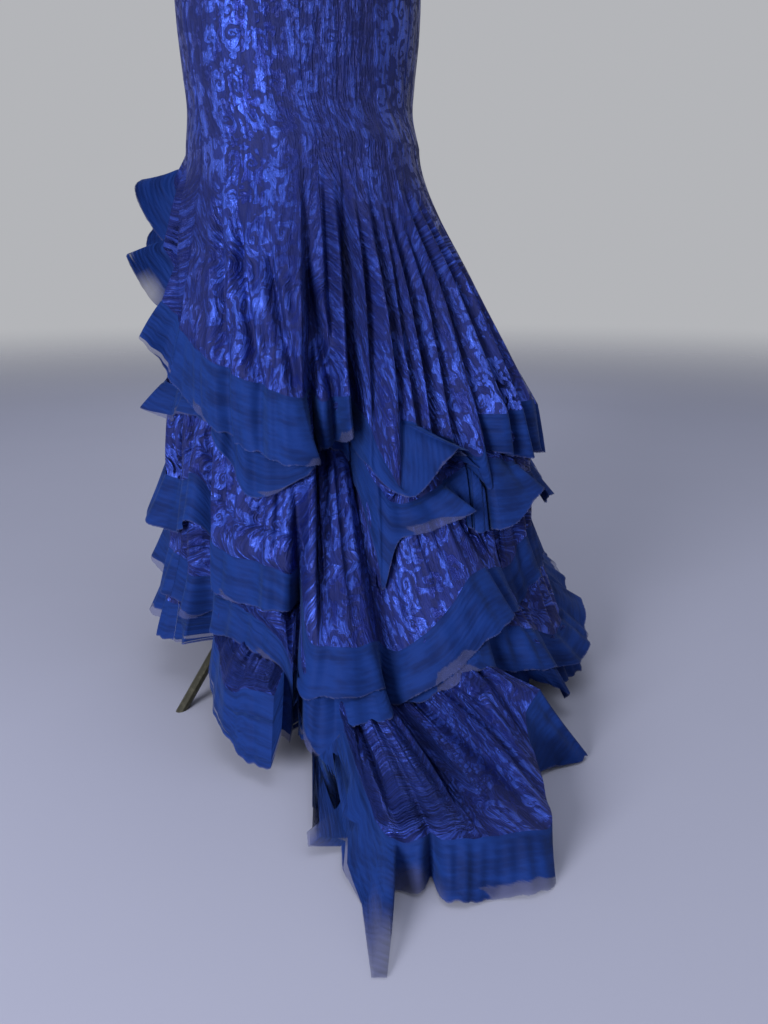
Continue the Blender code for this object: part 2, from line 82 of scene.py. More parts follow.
def polar(angle, reach, height):
    turn = np.radians(angle)
    return np.stack([reach * np.sin(turn), -reach * np.cos(turn), height + 0 * turn], axis=-1)


def polarOf(points):
    angle = np.degrees(np.arctan2(points[..., 0], -points[..., 1]))
    return angle, np.hypot(points[..., 0], points[..., 1]), points[..., 2]


def throughPoints(values, samples, fullTurn=0.0):  # a closed smooth curve through the values
    made = []
    count = len(values)
    for i in range(count):
        before = values[i - 1] - (fullTurn if i == 0 else 0.0)
        here = values[i]
        after = values[(i + 1) % count] + (fullTurn if i + 1 >= count else 0.0)
        beyond = values[(i + 2) % count] + (fullTurn if i + 2 >= count else 0.0)
        s = np.arange(samples) / samples
        made.append(0.5 * (
            2 * here + (after - before) * s
            + (2 * before - 5 * here + 4 * after - beyond) * s ** 2
            + (3 * here - before - 3 * after + beyond) * s ** 3
        ))
    return np.concatenate(made)


def ease(value, low=0.0, high=1.0):
    share = np.clip((value - low) / (high - low), 0, 1)
    return share * share * (3 - 2 * share)


def bell(offset, width):
    return np.exp(-(offset / width) ** 2)


def turnBetween(angle, other):  # shortest turn from one angle to another, in degrees
    return (angle - other + 180) % 360 - 180


def ripple(places, length, seed, waves=5):  # a seeded wavy line of size about 1
    rng = np.random.default_rng(seed)
    made = np.zeros(np.shape(places))
    for k in range(waves):
        wave = length * rng.uniform(0.55, 1.7)
        made = made + rng.uniform(0.5, 1.0) * np.sin(2 * np.pi * places / wave + rng.uniform(0, 6.28))
    return made / math.sqrt(waves)


def smoothRows(values, passes):
    for _ in range(passes):
        inner = (values[:-2] + 2 * values[1:-1] + values[2:]) / 4
        values = np.concatenate([values[:1], inner, values[-1:]])
    return values


def smoothRound(values, passes):
    for _ in range(passes):
        values = (np.roll(values, 1, -1) + 2 * values + np.roll(values, -1, -1)) / 4
    return values


# The figure under the gown: half width, depth in front, depth behind and how far each
# cup stands out, from the neck to the thigh.
Section = namedtuple("Section", "height halfWidth front back bust")
figure = [
    Section(1.475, 0.050, 0.048, 0.056, 0.000),
    Section(1.435, 0.054, 0.052, 0.058, 0.000),
    Section(1.410, 0.074, 0.060, 0.070, 0.000),
    Section(1.390, 0.120, 0.072, 0.084, 0.000),
    Section(1.365, 0.160, 0.080, 0.094, 0.000),
    Section(1.330, 0.177, 0.090, 0.100, 0.003),
    Section(1.290, 0.171, 0.097, 0.103, 0.012),
    Section(1.250, 0.160, 0.101, 0.102, 0.023),
    Section(1.215, 0.150, 0.102, 0.098, 0.029),
    Section(1.170, 0.140, 0.098, 0.092, 0.016),
    Section(1.120, 0.129, 0.092, 0.086, 0.004),
    Section(1.060, 0.119, 0.086, 0.082, 0.000),
    Section(1.000, 0.135, 0.094, 0.094, 0.000),
    Section(0.940, 0.153, 0.104, 0.110, 0.000),
    Section(0.880, 0.165, 0.110, 0.124, 0.000),
    Section(0.820, 0.164, 0.112, 0.124, 0.000),
    Section(0.760, 0.157, 0.116, 0.120, 0.000),
    Section(0.725, 0.152, 0.120, 0.122, 0.000),
    Section(0.680, 0.149, 0.144, 0.1455, 0.000),
]
bust = {"angle": 30.0, "spread": 34.0}
waist, flareStart, formBase = 1.060, 0.680, 0.725


def sectionAt(height):  # smooth between the rows of the figure
    rows = np.array(figure)[::-1]
    levels = rows[:, 0]
    k = int(np.clip(np.searchsorted(levels, height, side="right") - 1, 0, len(levels) - 2))
    step = levels[k + 1] - levels[k]
    s = np.clip((height - levels[k]) / step, 0, 1)
    slope = np.gradient(rows[:, 1:], levels, axis=0)
    a, b = rows[k, 1:], rows[k + 1, 1:]
    sizes = (
        a * (2 * s ** 3 - 3 * s ** 2 + 1) + b * (3 * s ** 2 - 2 * s ** 3)
        + step * (slope[k] * (s ** 3 - 2 * s ** 2 + s) + slope[k + 1] * (s ** 3 - s ** 2))
    )
    return Section(height, *sizes)


def figurePoints(angles, height, out=0.0):
    at = sectionAt(height)
    turn = np.radians(angles)
    depth = np.where(np.cos(turn) > 0, at.front, at.back) + out
    across = (at.halfWidth + out) * np.sin(turn)
    along = -depth * np.cos(turn)
    offFront = turnBetween(angles, 0)
    cups = sum(bell(offFront - side * bust["angle"], bust["spread"]) for side in (-1, 1))
    grow = 1 + at.bust * cups / np.hypot(across, along)
    return np.stack([across * grow, along * grow, height + 0 * turn], axis=-1)


# The seam where a tier's lace meets its band, one row for each crest or tuck. The band
# hangs from there by drop, out by flare degrees, and leans sideways by lean degrees.
Fold = namedtuple("Fold", "angle reach height flare lean drop")


def fold(angle, reach, height, flare=32.0, lean=0.0, drop=cloth["bandWidth"]):
    return Fold(angle, reach, height, flare, lean, drop)


# far: reach and height of the far side at the right edge, then at the front.
Tier = namedtuple("Tier", "name folds far climb drop")
tiers = [
    Tier("1", [
        fold(46, 0.156, 0.655, flare=60, lean=-4, drop=0.044),
        fold(52, 0.168, 0.640, flare=78, lean=7, drop=0.050),
        fold(57, 0.158, 0.592, flare=25, lean=-4, drop=0.050),
        fold(63, 0.184, 0.560, flare=74, lean=8, drop=0.052),
        fold(69, 0.166, 0.520, flare=16, lean=-3, drop=0.056),
        fold(76, 0.194, 0.492, flare=46, lean=6, drop=0.060),
        fold(88, 0.190, 0.462, flare=14, drop=0.066),
        fold(102.4, 0.205, 0.440, flare=13, lean=3.5, drop=0.077),
        fold(118.8, 0.225, 0.419, flare=19, lean=3.0, drop=0.081),
        fold(134.3, 0.252, 0.402, flare=24, lean=1.4, drop=0.084),
        fold(140.3, 0.270, 0.396, flare=27, lean=4.2, drop=0.078),
        fold(141.5, 0.245, 0.396, flare=22, lean=2.6, drop=0.068),
        fold(143.0, 0.208, 0.400, flare=5, lean=1.0, drop=0.060),
        fold(145.6, 0.228, 0.389, flare=8, lean=0.6, drop=0.056),
        fold(149.6, 0.244, 0.391, flare=6, lean=0.6, drop=0.055),
        fold(154.0, 0.236, 0.398, flare=5, lean=0.6, drop=0.049),
        fold(156.8, 0.212, 0.384, flare=5, lean=-0.3, drop=0.060),
        fold(158.6, 0.262, 0.355, flare=15, lean=-1.4, drop=0.045),
        fold(160.2, 0.282, 0.319, flare=16, lean=0.3, drop=0.030),
        fold(161.9, 0.292, 0.299, flare=49, lean=2.8, drop=0.018),
        fold(163.9, 0.288, 0.331, flare=57, lean=7.1, drop=0.033),
        fold(166.2, 0.280, 0.365, flare=58, lean=10.1, drop=0.057),
        fold(171.5, 0.270, 0.356, flare=45, lean=7.0, drop=0.042),
        fold(179.5, 0.278, 0.337, flare=20, lean=5.6, drop=0.041),
        fold(184.4, 0.296, 0.319, flare=8, lean=2.4, drop=0.044),
        fold(188.1, 0.298, 0.362, flare=8, lean=1.2, drop=0.046),
        fold(196.6, 0.306, 0.366, flare=9, lean=2.0, drop=0.062),
        fold(205.0, 0.310, 0.374, flare=8, lean=3.0, drop=0.070),
        fold(214.0, 0.308, 0.360, flare=14, drop=0.066),
    ], far=(0.305, 0.352, 0.185, 0.560), climb=3, drop=0.066),
    Tier("2", [
        fold(46, 0.160, 0.425, flare=36, drop=0.058),
        fold(58, 0.172, 0.405, flare=36, drop=0.058),
        fold(70, 0.192, 0.392, flare=45, drop=0.050),
        fold(80, 0.186, 0.385, flare=20, drop=0.045),
        fold(90, 0.197, 0.394, flare=18, drop=0.040),
        fold(104, 0.204, 0.400, flare=14, drop=0.044),
        fold(114, 0.219, 0.384, flare=15, drop=0.050),
        fold(122.5, 0.236, 0.342, flare=17, lean=1.1, drop=0.055),
        fold(127.5, 0.244, 0.331, flare=19, lean=1.1, drop=0.056),
        fold(137.2, 0.250, 0.329, flare=28, lean=0.2, drop=0.038),
        fold(142.8, 0.258, 0.346, flare=22, lean=0.5, drop=0.034),
        fold(146.0, 0.206, 0.358, flare=8, drop=0.034),
        fold(150.0, 0.212, 0.358, flare=8, drop=0.034),
        fold(155.6, 0.204, 0.345, flare=10, drop=0.040),
        fold(158.6, 0.258, 0.300, flare=14, lean=-0.8, drop=0.088),
        fold(160.4, 0.266, 0.287, flare=15, lean=-2.0, drop=0.115),
        fold(162.4, 0.275, 0.272, flare=20, lean=-0.3, drop=0.050),
        fold(168.0, 0.280, 0.274, flare=39, lean=1.5, drop=0.042),
        fold(174.6, 0.285, 0.289, flare=56, lean=3.2, drop=0.052),
        fold(179.7, 0.272, 0.292, flare=40, lean=0.6, drop=0.039),
        fold(184.5, 0.288, 0.309, flare=17, lean=-3.0, drop=0.084),
        fold(190.7, 0.302, 0.311, flare=25, lean=-2.4, drop=0.084),
        fold(197.6, 0.306, 0.300, flare=54, lean=1.0, drop=0.052),
        fold(207.0, 0.310, 0.278, flare=36, drop=0.048),
    ], far=(0.308, 0.280, 0.176, 0.405), climb=1, drop=0.058),
    Tier("3", [
        fold(46, 0.176, 0.305, flare=24, drop=0.060),
        fold(60, 0.188, 0.290, flare=22, drop=0.060),
        fold(72, 0.202, 0.272, flare=26, drop=0.070),
        fold(84, 0.194, 0.268, flare=12, drop=0.070),
        fold(95, 0.212, 0.278, flare=16, drop=0.066),
        fold(103.5, 0.222, 0.292, flare=10, drop=0.060),
        fold(108.2, 0.210, 0.258, flare=2, drop=0.056),
        fold(111.9, 0.234, 0.215, flare=8, lean=1.0, drop=0.059),
        fold(118.0, 0.246, 0.206, flare=14, drop=0.056),
        fold(125.9, 0.257, 0.203, flare=16, lean=0.7, drop=0.055),
        fold(133.0, 0.278, 0.203, flare=18, drop=0.052),
        fold(136.8, 0.282, 0.196, flare=16, drop=0.044),
        fold(139.0, 0.256, 0.192, flare=6, drop=0.045),
        fold(141.2, 0.336, 0.141, flare=14, lean=-2.2, drop=0.060),
        fold(145.3, 0.352, 0.136, flare=15, lean=-1.2, drop=0.057),
        fold(149.5, 0.358, 0.135, flare=18, lean=0.2, drop=0.056),
        fold(153.0, 0.350, 0.136, flare=22, lean=1.5, drop=0.054),
        fold(156.0, 0.316, 0.120, flare=14, drop=0.062),
        fold(159.1, 0.332, 0.114, flare=25, lean=-2.4, drop=0.062),
        fold(164.9, 0.345, 0.138, flare=32, lean=1.5, drop=0.058),
        fold(169.9, 0.350, 0.171, flare=29, lean=2.2, drop=0.062),
        fold(174.5, 0.345, 0.194, flare=29, lean=3.3, drop=0.071),
        fold(181.9, 0.335, 0.192, flare=30, lean=2.3, drop=0.061),
        fold(191.0, 0.322, 0.178, flare=14, lean=2.0, drop=0.056),
        fold(201.0, 0.320, 0.206, flare=20, drop=0.058),
    ], far=(0.312, 0.205, 0.190, 0.295), climb=1, drop=0.060),
    Tier("4", [
        fold(46, 0.188, 0.200, flare=20, drop=0.060),
        fold(62, 0.200, 0.190, flare=24, drop=0.060),
        fold(72, 0.196, 0.182, flare=8, drop=0.062),
        fold(82, 0.212, 0.176, flare=22, drop=0.058),
        fold(92, 0.208, 0.170, flare=8, drop=0.058),
        fold(100, 0.224, 0.160, flare=18, drop=0.056),
        fold(106, 0.214, 0.158, flare=4, drop=0.050),
        fold(113, 0.238, 0.150, flare=20, drop=0.050),
        fold(123, 0.264, 0.148, flare=24, drop=0.042),
        fold(130, 0.290, 0.142, flare=24, drop=0.040),
        fold(135.5, 0.314, 0.128, flare=18, drop=0.032),
        fold(138.2, 0.338, 0.106, flare=18, drop=0.034),
        fold(139.8, 0.352, 0.094, flare=20, drop=0.056),
        fold(143.5, 0.360, 0.086, flare=26, lean=-0.8, drop=0.074),
        fold(145.9, 0.352, 0.086, flare=34, drop=0.058),
        fold(147.6, 0.366, 0.088, flare=48, drop=0.046),
        fold(151.0, 0.362, 0.090, flare=44, drop=0.044),
        fold(153.8, 0.366, 0.092, flare=46, lean=0.8, drop=0.044),
        fold(157.5, 0.324, 0.098, flare=30, drop=0.040),
        fold(162, 0.338, 0.104, flare=34, drop=0.052),
        fold(171, 0.360, 0.142, flare=34, drop=0.056),
        fold(180, 0.352, 0.128, flare=16, drop=0.060),
        fold(188, 0.368, 0.112, flare=46, drop=0.056),
        fold(195, 0.356, 0.092, flare=24, drop=0.052),
        fold(203, 0.366, 0.080, flare=54, drop=0.050),
    ], far=(0.335, 0.120, 0.204, 0.196), climb=1, drop=0.060),
    Tier("5", [
        fold(46, 0.198, 0.122, flare=18, drop=0.056),
        fold(60, 0.206, 0.114, flare=24, drop=0.056),
        fold(71, 0.206, 0.110, flare=6, drop=0.056),
        fold(82, 0.220, 0.108, flare=20, drop=0.052),
        fold(92, 0.218, 0.105, flare=4, drop=0.048),
        fold(100, 0.232, 0.110, flare=18, drop=0.042),
        fold(110, 0.240, 0.108, flare=8, drop=0.044),
        fold(119, 0.286, 0.098, flare=24, drop=0.056),
        fold(126.5, 0.356, 0.086, flare=18, drop=0.052),
        fold(131.1, 0.368, 0.092, flare=22, lean=0.4, drop=0.080),
        fold(137.9, 0.392, 0.094, flare=24, lean=-0.3, drop=0.076),
        fold(141.0, 0.396, 0.088, flare=24, drop=0.066),
        fold(143.6, 0.372, 0.072, flare=20, drop=0.050),
        fold(146.0, 0.390, 0.058, flare=45, lean=-1.0, drop=0.050),
        fold(146.9, 0.412, 0.055, flare=62, lean=-3.5, drop=0.060),
        fold(147.2, 0.436, 0.053, flare=60, lean=-6.0, drop=0.060),
        fold(147.5, 0.462, 0.050, flare=35, lean=-3.4, drop=0.048),
        fold(147.7, 0.482, 0.047, flare=58, lean=-6.6, drop=0.056),
        fold(147.9, 0.504, 0.043, flare=50, lean=-6.4, drop=0.050),
        fold(148.1, 0.522, 0.040, flare=24, lean=-3.2, drop=0.038),
        fold(148.25, 0.540, 0.037, flare=50, lean=-4.0, drop=0.044),
        fold(148.4, 0.556, 0.038, flare=20, lean=-1.8, drop=0.038),
        fold(148.55, 0.572, 0.042, flare=70, lean=-3.4, drop=0.112),
        fold(148.7, 0.582, 0.044, flare=72, lean=-2.9, drop=0.138),
        fold(148.9, 0.588, 0.045, flare=72, lean=-2.2, drop=0.132),
        fold(149.1, 0.590, 0.046, flare=66, lean=-1.7, drop=0.092),
        fold(149.5, 0.592, 0.046, flare=22, lean=-1.0, drop=0.048),
        fold(151.3, 0.598, 0.047, flare=24, lean=-0.5, drop=0.048),
        fold(152.4, 0.590, 0.047, flare=2, drop=0.046),
        fold(153.3, 0.606, 0.048, flare=28, lean=-0.8, drop=0.052),
        fold(157.8, 0.612, 0.048, flare=33, lean=-1.1, drop=0.055),
        fold(162.3, 0.616, 0.046, flare=28, lean=-0.2, drop=0.052),
        fold(164.3, 0.590, 0.046, flare=4, lean=-1.6, drop=0.040),
        fold(166.6, 0.545, 0.048, flare=0, lean=-2.6, drop=0.038),
        fold(169.2, 0.500, 0.054, flare=4, lean=-1.6, drop=0.046),
        fold(171.6, 0.464, 0.068, flare=14, lean=3.0, drop=0.066),
        fold(173.4, 0.458, 0.082, flare=19, lean=6.4, drop=0.086),
        fold(177.2, 0.450, 0.094, flare=19, lean=6.0, drop=0.090),
        fold(180.2, 0.438, 0.106, flare=14, lean=7.0, drop=0.084),
        fold(184.0, 0.420, 0.108, flare=20, lean=3.4, drop=0.066),
        fold(191.0, 0.404, 0.076, flare=38, drop=0.060),
        fold(201.0, 0.380, 0.072, flare=20, drop=0.058),
    ], far=(0.352, 0.064, 0.216, 0.118), climb=1, drop=0.058),
]

farSide = {"folds": 8, "depth": 0.011}


def farFolds(tier):
    sideReach, sideHeight, frontReach, frontHeight = tier.far
    step = (406.0 - 228.0) / farSide["folds"]
    made = []
    for k in range(farSide["folds"]):
        share = k / (farSide["folds"] - 1)
        depth = farSide["depth"] if k % 2 else -farSide["depth"]
        made.append(fold(
            228.0 + step * k,
            sideReach + (frontReach - sideReach) * share + depth,
            sideHeight + (frontHeight - sideHeight) * share ** tier.climb,
            tier.folds[-1].flare * (1 - share) + tier.folds[0].flare * share,
            drop=tier.drop,
        ))
    return made


def atColumns(angle, values):
    return np.interp(columnAngle, angle, values, period=360)


def seamCurve(tier):
    rows = np.array(tier.folds + farFolds(tier))
    angle = throughPoints(rows[:, 0], 14, fullTurn=360.0)
    smoothed = [throughPoints(rows[:, k], 14) for k in range(1, 6)]
    return Fold(columnAngle, *[atColumns(angle, values) for values in smoothed])


def steepness(reach):  # how much longer a step out is than the distance between layers
    turn = np.radians(columnAngle)
    turns = (np.roll(turn, -3) - np.roll(turn, 3)) % (2 * math.pi)
    slope = (np.roll(reach, -3) - np.roll(reach, 3)) / turns / reach
    return np.minimum(smoothRound(np.hypot(1, slope), 6), cloth["steepest"])


def heldIn(reach, height, bands, angles=None):
    # Keeps a layer inside the bands over it, angle by angle.
    for band in bands:
        out, level, spare = band.reach, band.height, band.spare
        if angles is not None:
            out, level = at(angles, out), at(angles, level)
            spare = at(angles, spare)
        for k in range(1, len(out)):
            share = (level[k - 1] - height) / np.maximum(level[k - 1] - level[k], 1e-6)
            most = out[k - 1] + (out[k] - out[k - 1]) * share - spare
            reach = np.where((share >= 0) & (share <= 1), np.minimum(reach, most), reach)
        reach = np.where(height > level[0], np.minimum(reach, out[0] - spare), reach)
    return reach


def at(angles, values):  # values given at the columns, read at other angles
    if np.ndim(values) == 1:
        return np.interp(angles, columnAngle, values, period=360)
    return np.array([np.interp(angles, columnAngle, row, period=360) for row in values])


Band = namedtuple("Band", "rows reach height spare")


def measured(rows):  # a band, with its reach and height read at the columns' angles
    angle, reach, height = polarOf(rows)
    readings = []
    for values in (reach, height):
        readings.append(np.array([
            np.interp(columnAngle, a[np.argsort(a)], v[np.argsort(a)], period=360)
            for a, v in zip(angle % 360, values)
        ]))
    reach, height = readings
    return Band(rows, reach, height, cloth["inside"] * steepness(reach[-1]))


# Folds that run down the flared skirt: where each starts and ends (angle and height),
# its half width and depth in metres. A minus depth is a ridge.
Crease = namedtuple("Crease", "topAngle topHeight endAngle endHeight width depth")
skirtCreases = [
    Crease(99.6, 0.660, 114.6, 0.445, 0.0070, 0.008),
    Crease(110.4, 0.640, 128.5, 0.412, 0.0060, 0.010),
    Crease(125.2, 0.600, 140.3, 0.400, 0.0060, 0.010),
    Crease(140.3, 0.570, 150.5, 0.380, 0.0060, 0.012),
    Crease(151.5, 0.660, 149.0, 0.380, 0.0055, 0.007),
    Crease(160.1, 0.665, 155.0, 0.360, 0.0060, 0.016),
    Crease(165.5, 0.630, 158.5, 0.330, 0.0050, 0.010),
    Crease(172.1, 0.640, 164.5, 0.290, 0.0060, 0.018),
    Crease(176.5, 0.600, 169.2, 0.340, 0.0055, 0.012),
    Crease(182.1, 0.630, 174.3, 0.330, 0.0060, 0.018),
    Crease(187.0, 0.600, 180.0, 0.320, 0.0050, 0.010),
    Crease(192.0, 0.650, 188.0, 0.340, 0.0060, 0.016),
    Crease(199.4, 0.640, 195.0, 0.350, 0.0060, 0.014),
    Crease(206.0, 0.600, 200.0, 0.350, 0.0070, 0.012),
    Crease(216.0, 0.640, 210.0, 0.350, 0.0080, 0.010),
    Crease(236.0, 0.640, 236.0, 0.380, 0.0110, 0.010),
    Crease(258.0, 0.650, 262.0, 0.430, 0.0120, 0.009),
    Crease(284.0, 0.650, 290.0, 0.480, 0.0120, 0.009),
    Crease(312.0, 0.660, 318.0, 0.520, 0.0120, 0.008),
    Crease(340.0, 0.665, 345.0, 0.560, 0.0100, 0.006),
    Crease(64.0, 0.670, 80.0, 0.500, 0.0090, 0.006),
]


def creased(reach, height, creases, angles=None):
    angles = columnAngle if angles is None else angles
    for crease in creases:
        share = (crease.topHeight - height) / (crease.topHeight - crease.endHeight)
        angle = crease.topAngle + (crease.endAngle - crease.topAngle) * np.clip(share, 0, 1.1)
        away = np.radians(turnBetween(angles, angle)) * reach
        width = crease.width * (0.7 + 0.5 * np.clip(share, 0, 1))
        groove = bell(away, width) - 0.35 * bell(np.abs(away) - 2.1 * width, width)
        reach = reach - cloth["creases"] * crease.depth * groove * ease(share, 0.0, 0.45)
    return reach


def skirtRows(seam):
    out = cloth["ease"]
    heights = np.linspace(waist, flareStart, rowCount["waistToThigh"])
    rows = [figurePoints(columnAngle, height, out) for height in heights]
    topAngle, topReach, _ = polarOf(rows[-1])
    topAngle = topAngle + 360 * np.round((columnAngle - topAngle) / 360)
    bend = 0.15
    for share in np.linspace(0, 1, rowCount["flare"] + 1)[1:]:
        flared = (math.hypot(share, bend) - bend) / (math.hypot(1, bend) - bend)
        reach = topReach + (seam.reach - topReach) * flared
        turned = topAngle + (columnAngle - topAngle) * min(1.0, share * 2)
        height = flareStart + (seam.height - flareStart) * share
        fade = ease(flareStart - height, 0.0, 0.15)
        reach = reach + cloth["gather"] * ripple(turned * 0.0035, 0.022, 3) * fade
        reach = creased(reach, height, skirtCreases, turned)
        rows.append(polar(turned, reach, height))
    return np.array(rows)


def tierRows(seam, below, bands, number):  # a lower tier's lace, hung inside the seam above
    _, seamReach, start = polarOf(seam)
    start = start - cloth["layerGap"]
    topReach = seamReach - cloth["layerGap"] * steepness(seamReach) * 1.2
    shares = np.linspace(0, 1, rowCount["tier"])[:, None]
    height = start + (below.height - start) * shares
    reach = topReach + (below.reach - topReach) * shares ** 1.5
    reach = heldIn(reach, height, bands)
    for _ in range(3):
        reach = np.concatenate([reach[:1], smoothRows(reach, 3)[1:-1], reach[-1:]])
        reach = heldIn(reach, height, bands)
    along = np.cumsum(np.radians(np.gradient(np.unwrap(columnAngle, period=360))) * below.reach)
    waves = ripple(along, 0.030, 20 + number) + 0.5 * ripple(along, 0.012, 40 + number)
    reach = reach + cloth["gather"] * waves * np.sin(np.pi * np.clip(shares, 0, 1)) ** 0.7
    reach = heldIn(reach, height, bands)
    rows = gathered(polar(columnAngle, reach, height), number)
    rows[..., 2] = np.maximum(rows[..., 2], cloth["floor"])
    return rows


def gathered(rows, number):
    # Soft folds down a tier's lace, where it is gathered into the seam above.
    rng = np.random.default_rng(100 + number)
    across, down = np.gradient(rows, axis=1), np.gradient(rows, axis=0)
    outward = unit(np.cross(down, across))
    share = np.linspace(0, 1, len(rows))[:, None]
    push = np.zeros(rows.shape[:2])
    _, reach, _ = polarOf(rows)
    angle = 46.0
    while angle < 404:
        close = 100 < angle < 228
        end = angle + rng.uniform(-3, 3)
        width, depth = rng.uniform(0.004, 0.008), rng.uniform(0.004, 0.010)
        line = angle + (end - angle) * share
        away = np.radians(turnBetween(columnAngle[None, :], line)) * reach
        width = width * (0.7 + 0.8 * share)
        groove = bell(away, width) - 0.45 * bell(np.abs(away) - 2 * width, width)
        push = push - depth * groove * np.sin(np.pi * np.clip(share, 0, 0.93)) ** 0.6
        angle += rng.uniform(3.2, 6.5) if close else rng.uniform(7.0, 13.0)
    return rows + outward * push[..., None]


def bandRows(seam, curve, bands, number):
    seamAngle, seamReach, seamHeight = polarOf(seam)
    seamAngle = columnAngle + turnBetween(seamAngle, columnAngle)
    flare = np.radians(curve.flare)
    along = np.cumsum(np.radians(np.gradient(np.unwrap(columnAngle, period=360))) * curve.reach)
    waves = ripple(along, 0.085, 60 + number)
    fine = ripple(along, 0.022, 80 + number)
    rows = [seam.copy()]
    for share in np.linspace(0, 1, rowCount["band"])[1:]:
        angle = seamAngle + curve.lean * share ** 1.2
        push = 0.0055 * waves * share ** 1.6 + 0.0014 * fine * math.sin(math.pi * share) ** 0.5
        drop = curve.drop * share * (1 + 0.02 * fine * share)
        reach = seamReach + drop * np.sin(flare) + push * np.cos(flare)
        height = seamHeight - drop * np.cos(flare) + push * np.sin(flare)
        lowest = np.maximum(seamHeight - 0.004, cloth["floor"])
        height = np.clip(height, cloth["floor"], lowest)
        reach = heldIn(reach, height, bands, angle)
        rows.append(polar(angle, reach, height))
    return measured(np.array(rows))


# Finishes. Wire holds a socket, so that a sum on wires adds its Math nodes.

class Wire:
    def __init__(self, finish, socket):
        self.finish, self.socket = finish, socket

    def math(self, operation, *others):
        values = dict(enumerate((self, *others)))
        return self.finish.node("ShaderNodeMath", {"operation": operation}, values)[0]

    def __add__(self, other): return self.math("ADD", other)
    def __radd__(self, other): return self.math("ADD", other)
    def __sub__(self, other): return self.math("SUBTRACT", other)
    def __rsub__(self, other): return (self * -1).math("ADD", other)
    def __mul__(self, other): return self.math("MULTIPLY", other)
    def __rmul__(self, other): return self.math("MULTIPLY", other)
    def __truediv__(self, other): return self.math("DIVIDE", other)
    def __pow__(self, other): return self.math("POWER", other)
    def sine(self): return self.math("SINE")
    def size(self): return self.math("ABSOLUTE")
    def fraction(self): return self.math("FRACT")
    def most(self, other): return self.math("MAXIMUM", other)
    def least(self, other): return self.math("MINIMUM", other)
    def over(self, edge): return self.math("GREATER_THAN", edge)

    def between(self, low, high):  # a soft step from 0 at low to 1 at high
        settings = {"interpolation_type": "SMOOTHSTEP"}
        values = {"Value": self, "From Min": low, "From Max": high}
        return self.finish.node("ShaderNodeMapRange", settings, values)[0]


class Finish:
    def __init__(self, name, **constant):
        self.material = bpy.data.materials.new(name)
        self.material.use_nodes = True
        self.tree = self.material.node_tree
        self.shader = self.tree.nodes["Principled BSDF"]
        for socket, value in constant.items():
            self.set(self.shader.inputs[socket.replace("_", " ")], value)

    def set(self, socket, value):
        if isinstance(value, Wire):
            self.tree.links.new(value.socket, socket)
        elif hasattr(value, "__len__") and socket.type == "RGBA":
            socket.default_value = (*value[:3], 1.0)
        else:
            socket.default_value = value

    def node(self, kind, settings=None, values=None):
        made = self.tree.nodes.new(kind)
        for name, value in (settings or {}).items():
            if name == "stops":
                ramp = made.color_ramp
                while len(ramp.elements) < len(value):
                    ramp.elements.new(0.5)
                for stop, (place, colour) in zip(ramp.elements, value):
                    stop.position, stop.color = place, (*colour, 1.0)
            else:
                setattr(made, name, value)
        for name, value in (values or {}).items():
            self.set(made.inputs[name], value)
        return [Wire(self, socket) for socket in made.outputs]

    def feed(self, **wires):
        for socket, wire in wires.items():
            self.set(self.shader.inputs[socket.replace("_", " ")], wire)

    def mixed(self, share, low, high):  # colours low and high by share
        settings = {"data_type": "RGBA"}
        return self.node("ShaderNodeMix", settings, {0: share, 6: low, 7: high})[2]

    def vectors(self, operation, first, second):
        return self.node("ShaderNodeVectorMath", {"operation": operation}, {0: first, 1: second})

    def noise(self, place, scale, detail=2.0, rough=0.5):
        settings = {"noise_dimensions": "2D"}
        values = {"Vector": place, "Scale": scale, "Detail": detail, "Roughness": rough}
        return self.node("ShaderNodeTexNoise", settings, values)

    def clothPlace(self):  # metres across and down the cloth
        return self.node("ShaderNodeUVMap", {"uv_map": "cloth"})[0]

    def stretched(self, place, across, down):
        return self.vectors("MULTIPLY", place, (across, down, 1.0))[0]

    def attribute(self, name):
        return self.node("ShaderNodeAttribute", {"attribute_name": name})[2]

    def bumps(self, height, distance, strength=1.0):
        values = {"Height": height, "Distance": distance, "Strength": strength}
        return self.node("ShaderNodeBump", None, values)[0]


laceLook = {
    "thread": (0.050, 0.105, 0.570),
    # The thread's copy in painted shade, used in the valleys of the crush and broad creases.
    "threadDeep": (0.013, 0.023, 0.180),
    "ground": (0.0045, 0.008, 0.058),
    # The ground's copy in painted light, used on the crests of the crush and broad creases; random
    # grain also mixes it in.
    "groundLight": (0.008, 0.016, 0.120),
    "scrolls": 0.036,        # metres between scrolls
    "leaves": 0.0165,
    "threadMetal": 0.92,
}


def localPolar(finish, place, spacing, uneven, shift):
    # Distance from the nearest motif's middle, turns round it, and its three chances.
    moved = finish.vectors("ADD", place, shift)[0]
    settings = {"voronoi_dimensions": "2D"}
    values = {"Vector": moved, "Scale": 1 / spacing, "Randomness": uneven}
    _, chance, middle, *_ = finish.node("ShaderNodeTexVoronoi", settings, values)
    local = finish.vectors("SUBTRACT", moved, middle)[0]
    x, y, _ = finish.node("ShaderNodeSeparateXYZ", None, {0: local})
    red, green, blue = finish.node("ShaderNodeSeparateColor", None, {0: chance})
    reach = finish.vectors("LENGTH", local, (0, 0, 0))[1]
    turns = y.math("ARCTAN2", x) / (2 * math.pi)
    return reach / spacing, turns, red, green, blue


def scrollMotif(finish, place, spacing, shift):
    reach, turns, red, green, blue = localPolar(finish, place, spacing, 0.42, shift)
    side = (green.over(0.5) * 2 - 1)
    coil = (turns * side + red + (reach + 0.03).math("LOGARITHM", 3.3)).fraction()
    across = (coil - 0.5).size() * 2                 # 0 in the middle of a stroke
    lobes = ((turns + blue) * (2 * math.pi * 8)).sine() * reach.between(0.16, 0.45)
    stroke = 1 - (across + lobes * 0.17).between(0.46, 0.60)
    inside = 1 - (reach + lobes * 0.06).between(0.45, 0.52)
    cords = (across * 15 + lobes).sine() * 0.5 + 0.5
    return stroke * inside, cords


